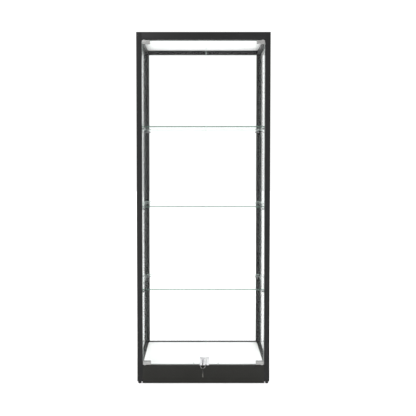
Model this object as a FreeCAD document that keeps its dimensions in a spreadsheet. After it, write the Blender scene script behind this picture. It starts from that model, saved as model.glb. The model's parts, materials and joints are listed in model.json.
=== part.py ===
import FreeCAD, Part
import os
import Sketcher

# Free-standing glass tower showcase with two hinged glass doors.
# Millimetres, +Z up, front towards -Y. The origin is the middle of the footprint at floor level.

doc = FreeCAD.newDocument("showcase")

# ---------------------------------------------------------------- driving sizes
driving = {
    "case_wide": 756, "case_deep": 500, "case_tall": 2000,
    # posts and rails
    "post_side": 30, "wall": 2, "rail_thick": 25, "rail_tall": 40, "header_tall": 44,
    "post_low": 14,
    "chamber": 15, "groove_wide": 8, "groove_deep": 9, "pane_inset": 9, "cap_deep": 12,
    # connectors: a block in each rail's end, and a dowel into the post
    "dowel_radius": 3, "dowel_reach": 10, "dowel_root": 5, "block_long": 30,
    "top_block": 18, "base_block": 40, "top_dowel_drop": 14, "base_dowel_rise": 40,
    # base
    "plinth_low": 4, "fascia_high": 108, "sill_deep": 15, "lip_high": 92,
    "deck_high": 90, "deck_thick": 16,
    "bearer_leg": 20, "bearer_skin": 2, "bearer_long_reach": 300, "bearer_short_reach": 190,
    "screw_radius": 2, "screw_long": 12, "screw_head": 3.8, "screw_head_tall": 2.2, "screw_end": 30,
    # ceiling
    "ceiling_low": 1985, "ceiling_thick": 8, "slot_deep": 6, "slot_engage": 5, "notch_gap": 0.5,
    # glazing
    "pane_thick": 5, "pane_engage": 6, "gasket_proud": 1,
    # shelves
    "shelf_thick": 6, "shelf_gap": 3.5, "shelf_set": 6, "shelf_drop": 12,
    "top_shelf_mid": 1472, "middle_shelf_mid": 1013, "lower_shelf_mid": 536,
    "peg_wide": 25, "peg_long": 20, "peg_tall": 7.5, "peg_round": 3, "peg_out": 13.5,
    "spigot_radius": 3, "spigot_long": 8, "spigot_root": 2, "spigot_set": 6.5,
    "cup_radius": 6, "cup_set": 13,
    # doors
    "door_thick": 5, "door_front": 5, "gap_middle": 15, "gap_half": 1.5,
    "door_side_gap": 3.5, "door_end_gap": 4, "pivot_inset": 13, "door_notch_wide": 24,
    "door_notch_tall": 10,
    "clamp_wide": 45, "clamp_tall": 20, "clamp_thick": 12, "clamp_end_gap": 2,
    "pad_thick": 0.5, "pivot_radius": 3, "pivot_play": 0.05, "pivot_reach": 7,
    "pivot_collar_radius": 4.5, "bush_radius": 5, "bush_long": 9, "bush_flange": 0.8,
    "bush_flange_radius": 7, "clamp_round": 1.5, "pivot_lift": 0.1,
    "set_screw_radius": 2.5, "set_screw_first": 10, "set_screw_step": 22, "set_screw_drop": 4.5,
    "pad_edge": 1, "pad_tall": 6, "bumper_tall": 10, "bumper_wide": 8, "bumper_gap": 0.3,
    "bumper_set": 70,
    # lock on the left door
    "lock_middle": -3, "lock_level": 132, "lock_left": -21, "lock_right": 12.5,
    "lock_low": 110, "lock_high": 154, "lock_front_wall": 12, "lock_rear_wall": 3,
    "plug_radius": 8, "plug_play": 0.1, "collar_radius": 11, "collar_out": 5, "plug_out": 1,
    "keyway_wide": 2.4, "keyway_tall": 8, "cam_sweep": 15, "cam_thick": 2, "cam_gap": 0.4,
    "bolt_wide": 18, "bolt_tall": 7, "bolt_deep": 3, "bolt_play": 0.2, "bolt_level": 116,
    "bolt_front": 3, "bolt_inset": 0.5, "bolt_spare": 2, "keeper_left": 17.5, "keeper_right": 32,
    "shoe_round": 1.5, "shoe_rear_drop": 14, "keeper_end_wall": 3,
    "cam_half": 4, "cam_tip_half": 3, "cam_tip_gap": 2,
    # keys
    "head_thick": 4, "bow_radius": 12, "key_hole_radius": 3.5, "key_hole_set": 6.5,
    "shoulder_tall": 9, "shoulder_long": 4, "blade_thick": 2, "blade_tall": 7,
    "blade_long": 11, "spare_blade_long": 27, "ring_radius": 13.9, "ring_wire": 1.1,
    "ring_gap": 0.3, "key_gap": 0.1, "cut_first": 1.2, "cut_step": 3.4, "cut_slope": 1, "cut_floor": 1,
    "cut_deep": 1.2, "cut_deeper": 0.6, "tip_slope": 2, "tip_half": 1,
    # levelling feet
    "foot_radius": 9.5, "foot_tall": 13.7, "foot_inset": 13, "foot_edge": 1, "foot_crown": 2,
    "stud_radius": 3, "stud_top": 40, "stud_play": 0.05, "insert_tall": 16,
    # how far a cutting block goes past the face that it opens
    "past": 5,
}

sheet = doc.addObject("Spreadsheet::Sheet", "sizes")
for row, (alias, value) in enumerate(driving.items(), start=1):
    sheet.set(f"A{row}", alias)
    sheet.set(f"B{row}", str(value))
    sheet.setAlias(f"B{row}", alias)
doc.recompute()


def bound(text):
    """Puts the sheet's name before each alias in a formula."""
    pieces = []
    word = ""
    for letter in str(text) + " ":
        if letter.isalnum() or letter == "_":
            word += letter
            continue
        pieces.append(("sizes." + word if word in driving else word) + letter)
        word = ""
    return "".join(pieces).strip()


def formula(text):
    """An expression in millimetres for a length property."""
    return f"({bound(text)}) * 1 mm"


def value_of(text):
    """Works a formula out in a spare cell of the sheet, for a sketch's first drawing."""
    sheet.set("D1", f"={text}")
    sheet.recompute()
    return float(sheet.get("D1"))


def set_place(obj, at):
    for axis, text in zip("xyz", at):
        obj.setExpression(f"Placement.Base.{axis}", formula(text))


# ---------------------------------------------------------------- plain solids
def box(name, low, high):
    """A block from its low corner to its high corner, all as formulas."""
    block = doc.addObject("Part::Box", name)
    for key, start, end in zip(("Length", "Width", "Height"), low, high):
        block.setExpression(key, formula(f"({end}) - ({start})"))
    set_place(block, low)
    return block


turns = {
    "z": FreeCAD.Rotation(),
    "x": FreeCAD.Rotation(FreeCAD.Vector(0, 1, 0), 90),
    "y": FreeCAD.Rotation(FreeCAD.Vector(1, 0, 0), -90),
}


def rod(name, start, radius, length, along="z"):
    """A cylinder from the middle of its first end, running towards + on its axis."""
    cylinder = doc.addObject("Part::Cylinder", name)
    cylinder.setExpression("Radius", formula(radius))
    cylinder.setExpression("Height", formula(length))
    cylinder.Placement = FreeCAD.Placement(FreeCAD.Vector(), turns[along])
    set_place(cylinder, start)
    return cylinder


def rounded(name, block, radius, along="z"):
    """The block with the edges that run along one axis rounded."""
    doc.recompute()
    edges = []
    for index, edge in enumerate(block.Shape.Edges, start=1):
        step = edge.Vertexes[-1].Point - edge.Vertexes[0].Point
        if abs(getattr(step, along)) > 0.99 * step.Length:
            edges.append((index, value_of(radius), value_of(radius)))
    smooth = doc.addObject("Part::Fillet", name)
    smooth.Base = block
    smooth.Edges = edges
    return smooth


def joined(name, pieces):
    whole = doc.addObject("Part::MultiFuse", name)
    whole.Shapes = pieces
    return whole


def cut(name, base, tools):
    """base without the tools."""
    rest = doc.addObject("Part::Cut", name)
    rest.Base = base
    rest.Tool = tools[0] if len(tools) == 1 else joined(name + "_tools", tools)
    return rest


def grouped(name, pieces):
    """Separate solids that share one node."""
    group = doc.addObject("Part::Compound", name)
    group.Links = pieces
    return group


nodes = []


def node(name, obj):
    obj.Label = name
    nodes.append(obj)
    return obj


# ---------------------------------------------------------------- sketched solids
def new_sketch(body, name, role="XY_Plane", lift=0):
    plane = next(f for f in body.Origin.OriginFeatures if f.Role == role)
    sketch = body.newObject("Sketcher::SketchObject", name)
    sketch.AttachmentSupport = (plane, [""])
    sketch.MapMode = "FlatFace"
    sketch.setExpression("AttachmentOffset.Base.z", formula(lift))
    return sketch


def pin_point(sketch, shape, end, at):
    """Holds one point of a sketch at two bound distances from the sketch's origin."""
    for kind, text in zip(("DistanceX", "DistanceY"), at):
        hold = Sketcher.Constraint(kind, -1, 1, shape, end, value_of(text))
        index = sketch.addConstraint(hold)
        sketch.setExpression(f"Constraints[{index}]", formula(text))


def outline(sketch, points):
    """A closed outline of straight lines through points given as formulas."""
    spots = [FreeCAD.Vector(value_of(a), value_of(b), 0) for a, b in points]
    lines = []
    for index, spot in enumerate(spots):
        line = Part.LineSegment(spot, spots[(index + 1) % len(spots)])
        lines.append(sketch.addGeometry(line, False))
    for index, line in enumerate(lines):
        following = lines[(index + 1) % len(lines)]
        sketch.addConstraint(Sketcher.Constraint("Coincident", line, 2, following, 1))
        pin_point(sketch, line, 1, points[index])


def rectangle(sketch, low, high):
    outline(sketch, [low, (high[0], low[1]), high, (low[0], high[1])])


def circle(sketch, centre, radius):
    middle = FreeCAD.Vector(value_of(centre[0]), value_of(centre[1]), 0)
    ring = Part.Circle(middle, FreeCAD.Vector(0, 0, 1), value_of(radius))
    shape = sketch.addGeometry(ring, False)
    index = sketch.addConstraint(Sketcher.Constraint("Radius", shape, value_of(radius)))
    sketch.setExpression(f"Constraints[{index}]", formula(radius))
    pin_point(sketch, shape, 3, centre)


def pad(body, sketch, length, middle=False):
    feature = body.newObject("PartDesign::Pad", sketch.Name + "_pad")
    feature.Profile = sketch
    feature.setExpression("Length", formula(length))
    feature.Midplane = middle
    sketch.Visibility = False
    return feature


def pocket(body, sketch, length, middle=False, reverse=False):
    """Cuts a sketch out of the body, and stops if nothing was cut."""
    doc.recompute()
    before = body.Shape.Volume
    feature = body.newObject("PartDesign::Pocket", sketch.Name + "_pocket")
    feature.Profile = sketch
    feature.setExpression("Length", formula(length))
    feature.Midplane = middle
    feature.Reversed = reverse
    doc.recompute()
    if body.Shape.Volume >= before - 0.01:
        raise RuntimeError(f"{sketch.Name} cut nothing")
    return feature


def turned(name, points):
    """A solid of revolution about +Z from a half outline of (radius, height) formulas."""
    body = doc.addObject("PartDesign::Body", name)
    sketch = new_sketch(body, name + "_half", "XZ_Plane")
    outline(sketch, points)
    spin = body.newObject("PartDesign::Revolution", name + "_spin")
    spin.Profile = sketch
    spin.ReferenceAxis = (sketch, ["V_Axis"])
    spin.Angle = 360
    return body


# ---------------------------------------------------------------- places worked out from the sizes
half_wide = "case_wide / 2"
half_deep = "case_deep / 2"
post_x = "(case_wide / 2 - post_side)"
post_y = "(case_deep / 2 - post_side)"
rail_x = "(case_wide / 2 - rail_thick)"
rail_y = "(case_deep / 2 - rail_thick)"
pane_x = "(case_wide / 2 - pane_inset)"
pane_y = "(case_deep / 2 - pane_inset)"
rail_low = "(case_tall - rail_tall)"
header_low = "(case_tall - header_tall)"
chamber_x = "(case_wide / 2 - wall - chamber / 2)"
chamber_y = "(case_deep / 2 - wall - chamber / 2)"
slot_back = "(rail_thick - slot_deep)"
shelves = {"top": "top_shelf_mid", "middle": "middle_shelf_mid", "lower": "lower_shelf_mid"}
corners = {
    "front_left": (-1, -1), "front_right": (1, -1), "rear_left": (-1, 1), "rear_right": (1, 1),
}
top_dowel = "(case_tall - top_dowel_drop)"
base_dowel = "(plinth_low + base_dowel_rise)"
peg_x = f"({post_x} - peg_wide / 2 + peg_out)"
spigot_x = f"({post_x} + spigot_set)"


def span(side, near, far):
    """Low and high ends of a stretch from near to far on the side given as -1 or 1."""
    return (f"({side}) * ({far})", f"({side}) * ({near})") if side < 0 else (near, far)


# ---------------------------------------------------------------- posts
def post_holes(name, x_side, y_side):
    """The holes that one post has for the rails' dowels and the shelf pegs."""
    holes = []
    for level, height in (("top", top_dowel), ("base", base_dowel)):
        x_start, _ = span(x_side, post_x, f"{post_x} + dowel_reach")
        y_start, _ = span(y_side, post_y, f"{post_y} + dowel_reach")
        across = (x_start, f"{y_side} * {chamber_y}", height)
        inward = (f"{x_side} * {chamber_x}", y_start, height)
        holes.append(rod(f"{name}_{level}_x", across, "dowel_radius", "dowel_reach", "x"))
        holes.append(rod(f"{name}_{level}_y", inward, "dowel_radius", "dowel_reach", "y"))
    for shelf, middle in shelves.items():
        y_start, _ = span(y_side, post_y, f"{post_y} + spigot_long")
        start = (f"{x_side} * {spigot_x}", y_start, f"{middle} - shelf_drop")
        holes.append(rod(f"{name}_{shelf}_spigot", start, "spigot_radius", "spigot_long", "y"))
    return holes


def groove_for(name, x_side, y_side, faces):
    """One glass groove, on the post's inner face across X or along Y."""
    if faces == "y":
        xs = span(x_side, f"{pane_x} - groove_wide / 2", f"{pane_x} + groove_wide / 2")
        ys = span(y_side, post_y, f"{post_y} + groove_deep")
    else:
        xs = span(x_side, post_x, f"{post_x} + groove_deep")
        ys = span(y_side, f"{pane_y} - groove_wide / 2", f"{pane_y} + groove_wide / 2")
    low = (xs[0], ys[0], "post_low")
    return box(f"{name}_groove_{faces}", low, (xs[1], ys[1], "case_tall"))


def make_post(corner, x_side, y_side):
    name = "post_" + corner
    profile = doc.addObject("PartDesign::Body", name + "_profile")
    sketch = new_sketch(profile, name + "_section", "XY_Plane", "post_low")
    xs = span(x_side, post_x, half_wide)
    ys = span(y_side, post_y, half_deep)
    rectangle(sketch, (xs[0], ys[0]), (xs[1], ys[1]))
    xs = span(x_side, f"{half_wide} - wall - chamber", f"{half_wide} - wall")
    ys = span(y_side, f"{half_deep} - wall - chamber", f"{half_deep} - wall")
    rectangle(sketch, (xs[0], ys[0]), (xs[1], ys[1]))
    pad(profile, sketch, "case_tall - post_low")
    tools = post_holes(name, x_side, y_side)
    tools.append(groove_for(name, x_side, y_side, "y"))
    if y_side > 0:
        tools.append(groove_for(name, x_side, y_side, "x"))
    node(name, cut(name, profile, tools))


for corner, (x_side, y_side) in corners.items():
    make_post(corner, x_side, y_side)

# Plugs close the chambers at the top of the posts, flush with the rails.
caps = []
for corner, (x_side, y_side) in corners.items():
    xs = span(x_side, f"{half_wide} - wall - chamber", f"{half_wide} - wall")
    ys = span(y_side, f"{half_deep} - wall - chamber", f"{half_deep} - wall")
    low = (xs[0], ys[0], "case_tall - cap_deep")
    caps.append(box("cap_" + corner, low, (xs[1], ys[1], "case_tall")))
node("post_caps", grouped("post_caps", caps))


# ---------------------------------------------------------------- rails
def rail_section(sketch, edge, out, low, high, slot, groove, sill):
    """A box profile. edge is how far its outer face is from the middle, on the side out."""
    def across(inset):
        return f"{out} * ({edge} - ({inset}))"

    points = [(across(0), low), (across(0), high), (across("rail_thick"), high)]
    if slot:
        slot_high = "ceiling_low + ceiling_thick"
        points += [(across("rail_thick"), slot_high), (across(slot_back), slot_high)]
        points += [(across(slot_back), "ceiling_low"), (across("rail_thick"), "ceiling_low")]
    if sill:
        points[-1] = (across("sill_deep"), high)
        points += [(across("sill_deep"), sill), (across("rail_thick"), sill)]
    points.append((across("rail_thick"), low))
    if groove == "under":
        near, far = "pane_inset + groove_wide / 2", "pane_inset - groove_wide / 2"
        points += [(across(near), low), (across(near), f"{low} + groove_deep")]
        points += [(across(far), f"{low} + groove_deep"), (across(far), low)]
    if groove == "over":
        near, far = "pane_inset + groove_wide / 2", "pane_inset - groove_wide / 2"
        lip = [(across(far), high), (across(far), f"{high} - groove_deep")]
        lip += [(across(near), f"{high} - groove_deep"), (across(near), high)]
        points = points[:2] + lip + points[2:]
    outline(sketch, points)
    hollow_low = f"{low} + groove_deep + wall" if groove == "under" else f"{low} + wall"
    hollow_high = f"{high} - groove_deep - wall" if groove == "over" else f"{sill or high} - wall"
    ends = sorted((across("wall"), across("wall + chamber")), key=value_of)
    rectangle(sketch, (ends[0], hollow_low), (ends[1], hollow_high))


def make_rail(name, run, out, low, high, slot=False, groove=None, sill=None):
    """A rail between two posts. run is the axis it lies along."""
    body = doc.addObject("PartDesign::Body", name)
    plane, edge, reach = ("YZ_Plane", half_deep, post_x) if run == "x" else ("XZ_Plane", half_wide, post_y)
    sketch = new_sketch(body, name + "_section", plane)
    rail_section(sketch, edge, out, low, high, slot, groove, sill)
    pad(body, sketch, f"2 * {reach}", middle=True)
    return body


top = (rail_low, "case_tall")
header = make_rail("header_profile", "x", -1, header_low, "case_tall", slot=True)
node("top_rail_rear", make_rail("top_rail_rear", "x", 1, *top, slot=True, groove="under"))
node("top_rail_left", make_rail("top_rail_left", "y", -1, *top, slot=True, groove="under"))
node("top_rail_right", make_rail("top_rail_right", "y", 1, *top, slot=True, groove="under"))

# The front fascia has a sill that the doors stand over, and the deck lies on the step behind it.
deck_low = "(deck_high - deck_thick)"
base = ("plinth_low", "lip_high")
plinths = {
    "front_fascia": make_rail("fascia_profile", "x", -1, "plinth_low", "fascia_high", sill=deck_low),
    "rear_plinth": make_rail("rear_plinth_profile", "x", 1, *base, groove="over"),
    "left_plinth": make_rail("left_plinth_profile", "y", -1, *base, groove="over"),
    "right_plinth": make_rail("right_plinth_profile", "y", 1, *base, groove="over"),
}


# ---------------------------------------------------------------- rail connectors
def connector(name, run, x_side, y_side, height, tall):
    """A block in a rail's chamber with a dowel that goes on into the post."""
    if run == "x":
        xs = span(x_side, f"{post_x} - block_long", post_x)
        ys = (f"{y_side} * {chamber_y} - chamber / 2", f"{y_side} * {chamber_y} + chamber / 2")
        start, _ = span(x_side, f"{post_x} - dowel_root", f"{post_x} + dowel_reach")
        at = (start, f"{y_side} * {chamber_y}", height)
    else:
        xs = (f"{x_side} * {chamber_x} - chamber / 2", f"{x_side} * {chamber_x} + chamber / 2")
        ys = span(y_side, f"{post_y} - block_long", post_y)
        start, _ = span(y_side, f"{post_y} - dowel_root", f"{post_y} + dowel_reach")
        at = (f"{x_side} * {chamber_x}", start, height)
    low = (xs[0], ys[0], f"{height} - {tall} / 2")
    block = box(name + "_block", low, (xs[1], ys[1], f"{height} + {tall} / 2"))
    dowel = rod(name + "_dowel", at, "dowel_radius", "dowel_reach + dowel_root", run)
    return joined(name, [block, dowel])


for level, height, tall in (("top", top_dowel, "top_block"), ("base", base_dowel, "base_block")):
    blocks = []
    for corner, (x_side, y_side) in corners.items():
        for run in ("x", "y"):
            title = f"{level}_connector_{corner}_{run}"
            blocks.append(connector(title, run, x_side, y_side, height, tall))
    node(f"{level}_connectors", grouped(f"{level}_connectors", blocks))


# ---------------------------------------------------------------- ceiling and deck
def notched_panel(name, reach_x, reach_rear, reach_front, low, thick):
    """A board with a square notch at each corner, where it passes the posts."""
    body = doc.addObject("PartDesign::Body", name)
    sketch = new_sketch(body, name + "_outline", "XY_Plane", low)
    in_x, in_y = f"({post_x} - notch_gap)", f"({post_y} - notch_gap)"
    rear = [(reach_x, in_y), (in_x, in_y), (in_x, reach_rear)]
    front = [(reach_x, f"-{in_y}"), (in_x, f"-{in_y}"), (in_x, f"-{reach_front}")]
    points = list(rear)
    points += [(f"-{x}", y) for x, y in reversed(rear)]
    points += [(f"-{x}", y) for x, y in front]
    points += reversed(front)
    outline(sketch, points)
    pad(body, sketch, thick)
    return body


ceiling_x = f"({rail_x} + slot_engage)"
ceiling_y = f"({rail_y} + slot_engage)"
ceiling = notched_panel(
    "ceiling_panel", ceiling_x, ceiling_y, ceiling_y, "ceiling_low", "ceiling_thick"
)
node("ceiling_panel", ceiling)
sill_y = f"({half_deep} - sill_deep)"
deck = notched_panel("deck_board", rail_x, rail_y, sill_y, deck_low, "deck_thick")

# Angle bearers under the deck, screwed to the four plinth rails, with screws up into the deck.
bearer_plans = {
    "front": ("x", -1, "bearer_long_reach"), "rear": ("x", 1, "bearer_long_reach"),
    "left": ("y", -1, "bearer_short_reach"), "right": ("y", 1, "bearer_short_reach"),
}
plinth_of = {
    "front": "front_fascia", "rear": "rear_plinth", "left": "left_plinth", "right": "right_plinth",
}


def laid(run, along, across, height):
    """A corner or a start, from its places along and across the way that a bearer runs."""
    return (along, across, height) if run == "x" else (across, along, height)


def make_screw(name, head_at, shank_at, shank_long, along):
    head = rod(name + "_head", head_at, "screw_head", "screw_head_tall", along)
    return joined(name, [head, rod(name + "_shank", shank_at, "screw_radius", shank_long, along)])


base_screws, deck_holes, bearers = [], [], []
for side, (run, out, reach) in bearer_plans.items():
    edge = rail_y if run == "x" else rail_x
    cross = "y" if run == "x" else "x"
    flat_low = f"({deck_low} - bearer_skin)"
    plates = []
    leg_low = f"{deck_low} - bearer_leg"
    for plate, deep, low in (("flat", "bearer_leg", flat_low), ("leg", "bearer_skin", leg_low)):
        ends = span(out, f"{edge} - {deep}", edge)
        low_corner = laid(run, f"-{reach}", ends[0], low)
        plates.append(box(f"{side}_{plate}", low_corner, laid(run, reach, ends[1], deck_low)))
    # a wall screw goes through the leg and the rail's inner wall
    wall_long = "(bearer_skin + rail_thick - wall - chamber)"
    wall_ends = span(out, f"{edge} - bearer_skin", f"{edge} - bearer_skin + {wall_long}")
    head_ends = span(out, f"{edge} - bearer_skin - screw_head_tall", f"{edge} - bearer_skin")
    wall_level = f"({deck_low} - bearer_leg / 2 - bearer_skin)"
    inset = f"{out} * ({edge} - bearer_leg / 2 - bearer_skin)"
    bearer_holes, plinth_holes = [], []
    for step in (-1, 0, 1):
        along = f"{step} * ({reach} - screw_end)"
        title = f"{side}_{step + 1}"
        up_at = laid(run, along, inset, flat_low)
        head_at = laid(run, along, inset, f"{flat_low} - screw_head_tall")
        base_screws.append(make_screw("deck_screw_" + title, head_at, up_at, "screw_long", "z"))
        deck_holes.append(rod("deck_hole_" + title, up_at, "screw_radius", "screw_long"))
        bearer_holes.append(rod("up_hole_" + title, up_at, "screw_radius", "bearer_skin"))
        wall_at = laid(run, along, wall_ends[0], wall_level)
        head_at = laid(run, along, head_ends[0], wall_level)
        base_screws.append(make_screw("wall_screw_" + title, head_at, wall_at, wall_long, cross))
        bearer_holes.append(rod("leg_hole_" + title, wall_at, "screw_radius", wall_long, cross))
        plinth_holes.append(rod("rail_hole_" + title, wall_at, "screw_radius", wall_long, cross))
    bearers.append(cut(f"{side}_bearer", joined(f"{side}_angle", plates), bearer_holes))
    plinth = plinth_of[side]
    plinths[plinth] = cut(plinth + "_drilled", plinths[plinth], plinth_holes)
node("deck_panel", cut("deck_drilled", deck, deck_holes))
node("deck_bearers", grouped("deck_bearers", bearers))
node("base_screws", grouped("base_screws", base_screws))


# ---------------------------------------------------------------- fixed panes and their gaskets
def pane_with_gasket(side, out, run):
    """A pane in the grooves of two posts and two rails, and the rubber channel round its edge."""
    reach = post_x if run == "x" else post_y
    mid = f"{out} * ({pane_y if run == 'x' else pane_x})"
    glass_low = "(lip_high - pane_engage)"
    glass_high = f"({rail_low} + pane_engage)"
    layers = {
        "glass": (f"({reach} + pane_engage)", glass_low, glass_high, "pane_thick"),
        "rubber": (f"({reach} + groove_deep)", "(lip_high - groove_deep)",
                   f"({rail_low} + groove_deep)", "groove_wide"),
        "window": (f"({reach} - gasket_proud)", "(lip_high + gasket_proud)",
                   f"({rail_low} - gasket_proud)", "groove_wide * 2"),
    }
    solids = {}
    for layer, (half, low, high, thick) in layers.items():
        first, last = f"{mid} - {thick} / 2", f"{mid} + {thick} / 2"
        if run == "x":
            solids[layer] = box(f"{side}_{layer}", (f"-{half}", first, low), (half, last, high))
        else:
            solids[layer] = box(f"{side}_{layer}", (first, f"-{half}", low), (last, half, high))
    channel = cut(f"{side}_channel", solids["rubber"], [solids["window"], solids["glass"]])
    node(f"{side}_gasket", channel)
    node(f"{side}_glass", solids["glass"])


pane_with_gasket("left_side", -1, "y")
pane_with_gasket("right_side", 1, "y")
pane_with_gasket("rear", 1, "x")


# ---------------------------------------------------------------- shelves, pegs and cups
def make_peg(name, x_side, y_side, middle):
    """A short metal arm with a spigot that goes into the post."""
    xs = span(x_side, f"{peg_x} - peg_wide / 2", f"{peg_x} + peg_wide / 2")
    ys = span(y_side, f"{post_y} - peg_long", post_y)
    axis = f"({middle} - shelf_drop)"
    low = (xs[0], ys[0], f"{axis} - peg_tall / 2")
    high = (xs[1], ys[1], f"{axis} + peg_tall / 2")
    arm = rounded(name + "_arm", box(name + "_block", low, high), "peg_round")
    start, _ = span(y_side, f"{post_y} - spigot_root", f"{post_y} + spigot_long")
    at = (f"{x_side} * {spigot_x}", start, axis)
    spigot = rod(name + "_spigot", at, "spigot_radius", "spigot_long + spigot_root", "y")
    return joined(name, [arm, spigot])


pegs, cups = [], []
for shelf, middle in shelves.items():
    reach_x = f"({pane_x} - pane_thick / 2 - shelf_gap)"
    reach_y = f"({post_y} - shelf_set)"
    low = (f"-{reach_x}", f"-{reach_y}", f"{middle} - shelf_thick / 2")
    high = (reach_x, reach_y, f"{middle} + shelf_thick / 2")
    node(f"{shelf}_shelf", box(f"{shelf}_shelf", low, high))
    for corner, (x_side, y_side) in corners.items():
        title = f"{shelf}_{corner}"
        pegs.append(make_peg("peg_" + title, x_side, y_side, middle))
        cup_low = f"({middle} - shelf_drop + peg_tall / 2)"
        cup_long = "(shelf_drop - peg_tall / 2 - shelf_thick / 2)"
        at = (f"{x_side} * {peg_x}", f"{y_side} * ({post_y} - cup_set)", cup_low)
        cups.append(rod("cup_" + title, at, "cup_radius", cup_long))
node("shelf_pegs", grouped("shelf_pegs", pegs))
node("shelf_cups", grouped("shelf_cups", cups))

# ---------------------------------------------------------------- levelling feet
foot_profile = [
    (0, 0), ("foot_radius - foot_edge", 0), ("foot_radius", "foot_edge"),
    ("foot_radius", "foot_tall - foot_crown"), ("foot_radius - foot_crown", "foot_tall"),
    ("stud_radius", "foot_tall"), ("stud_radius", "stud_top"), (0, "stud_top"),
]
inserts = []
for corner, (x_side, y_side) in corners.items():
    foot_at = (
        f"{x_side} * ({half_wide} - foot_inset)", f"{y_side} * ({half_deep} - foot_inset)", 0,
    )
    foot = turned("foot_" + corner, foot_profile)
    set_place(foot, foot_at)
    node("foot_" + corner, foot)
    xs = span(x_side, f"{half_wide} - wall - chamber", f"{half_wide} - wall")
    ys = span(y_side, f"{half_deep} - wall - chamber", f"{half_deep} - wall")
    plug = box("insert_plug_" + corner, (xs[0], ys[0], "post_low"),
               (xs[1], ys[1], "post_low + insert_tall"))
    bore_at = (foot_at[0], foot_at[1], "post_low")
    bore = rod("insert_bore_" + corner, bore_at, "stud_radius + stud_play", "insert_tall")
    inserts.append(cut("insert_" + corner, plug, [bore]))
node("foot_inserts", grouped("foot_inserts", inserts))

# ---------------------------------------------------------------- doors
door_mid = f"(-{half_deep} + door_front + door_thick / 2)"
door_face = f"({door_mid} - door_thick / 2)"
door_back = f"({door_mid} + door_thick / 2)"
door_low = "(fascia_high + door_end_gap)"
door_high = f"({header_low} - door_end_gap)"
pivot_x = f"({post_x} - pivot_inset)"
clamp_far = f"({post_x} - clamp_end_gap)"
clamp_near = f"({clamp_far} - clamp_wide)"
glass_edge = f"({post_x} - door_side_gap)"
notch_near = f"({glass_edge} - door_notch_wide)"
# each end of a door: the frame's face it turns against, the clamp's outer face, and the way inwards
door_ends = {
    "upper": (header_low, f"({header_low} - clamp_end_gap)", -1),
    "lower": ("fascia_high", "(fascia_high + clamp_end_gap)", 1),
}
glass_set = "(door_end_gap - clamp_end_gap)"
notch_set = f"({glass_set} + door_notch_tall)"


def stretch(start, way, length):
    """Low and high ends of a length that runs up (1) or down (-1) from start."""
    return (start, f"({start}) + {length}") if way > 0 else (f"({start}) - {length}", start)


def make_clamp(side, end, x_side):
    """A metal clamp on a door's corner, with rubber pads and two set screws on the inside."""
    name = f"{side}_{end}"
    _, face, way = door_ends[end]
    zs = stretch(face, way, "clamp_tall")
    xs = span(x_side, clamp_near, clamp_far)
    first, last = f"{door_mid} - clamp_thick / 2", f"{door_mid} + clamp_thick / 2"
    block = box(name + "_clamp_block", (xs[0], first, zs[0]), (xs[1], last, zs[1]))
    shell = rounded(name + "_clamp_shell", block, "clamp_round")
    slot_first = f"{door_face} - pad_thick"
    slot_last = f"{door_back} + pad_thick"
    tools = []
    for part, far, start in (("slot", glass_edge, notch_set), ("slot_end", notch_near, glass_set)):
        ends = span(x_side, f"{clamp_near} - past", far)
        levels = stretch(f"({face}) + {way} * {start}", way, "clamp_tall")
        low = (ends[0], slot_first, levels[0])
        tools.append(box(f"{name}_{part}", low, (ends[1], slot_last, levels[1])))
    pin_at = (f"{x_side} * {pivot_x}", door_mid, stretch(face, way, "door_notch_tall")[0])
    tools.append(rod(name + "_pin_hole", pin_at, "pivot_radius", "door_notch_tall"))
    screws = []
    for index in (0, 1):
        spot = f"{x_side} * ({clamp_near} + set_screw_first + {index} * set_screw_step)"
        at = (spot, slot_last, f"({face}) + {way} * (clamp_tall - set_screw_drop)")
        long = "(clamp_thick - door_thick) / 2 - pad_thick"
        tools.append(rod(f"{name}_screw_hole_{index}", at, "set_screw_radius", long, "y"))
        screws.append(rod(f"{name}_screw_{index}", at, "set_screw_radius", long, "y"))
    node(f"{side}_door_{end}_hinge", cut(name + "_clamp", shell, tools))
    pads = []
    pad_low = stretch(f"({face}) + {way} * ({notch_set} + pad_edge)", way, "pad_tall")
    pad_x = span(x_side, f"{clamp_near} + pad_edge", f"{glass_edge} - pad_edge")
    for index, start in enumerate((slot_first, door_back)):
        pads.append(box(f"{name}_pad_{index}", (pad_x[0], start, pad_low[0]),
                        (pad_x[1], f"{start} + pad_thick", pad_low[1])))
    return screws, pads


def make_pivot(side, end, x_side):
    """The pin pressed into a clamp, and the flanged bush in the frame that it turns in."""
    name = f"{side}_{end}"
    frame_face, face, way = door_ends[end]
    collar_top = "door_notch_tall + clamp_end_gap - bush_flange - pivot_lift"
    pin_top = "door_notch_tall + clamp_end_gap + pivot_reach"
    pin = turned(name + "_pin", [
        (0, 0), ("pivot_radius", 0), ("pivot_radius", "door_notch_tall"),
        ("pivot_collar_radius", "door_notch_tall"), ("pivot_collar_radius", collar_top),
        ("pivot_radius", collar_top), ("pivot_radius", pin_top), (0, pin_top),
    ])
    bore = "(pivot_radius + pivot_play)"
    bush = turned(name + "_bush", [
        (bore, "-bush_flange"), ("bush_flange_radius", "-bush_flange"), ("bush_flange_radius", 0),
        ("bush_radius", 0), ("bush_radius", "bush_long"), (bore, "bush_long"),
    ])
    flip = FreeCAD.Rotation(FreeCAD.Vector(1, 0, 0), 180 if way > 0 else 0)
    for part, start in ((pin, f"({face}) + {way} * door_notch_tall"), (bush, frame_face)):
        part.Placement = FreeCAD.Placement(FreeCAD.Vector(), flip)
        set_place(part, (f"{x_side} * {pivot_x}", door_mid, start))
    start = stretch(frame_face, -way, "bush_long")[0]
    hole_at = (f"{x_side} * {pivot_x}", door_mid, start)
    hole = rod(name + "_bush_hole", hole_at, "bush_radius", "bush_long")
    return pin, bush, hole


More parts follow.
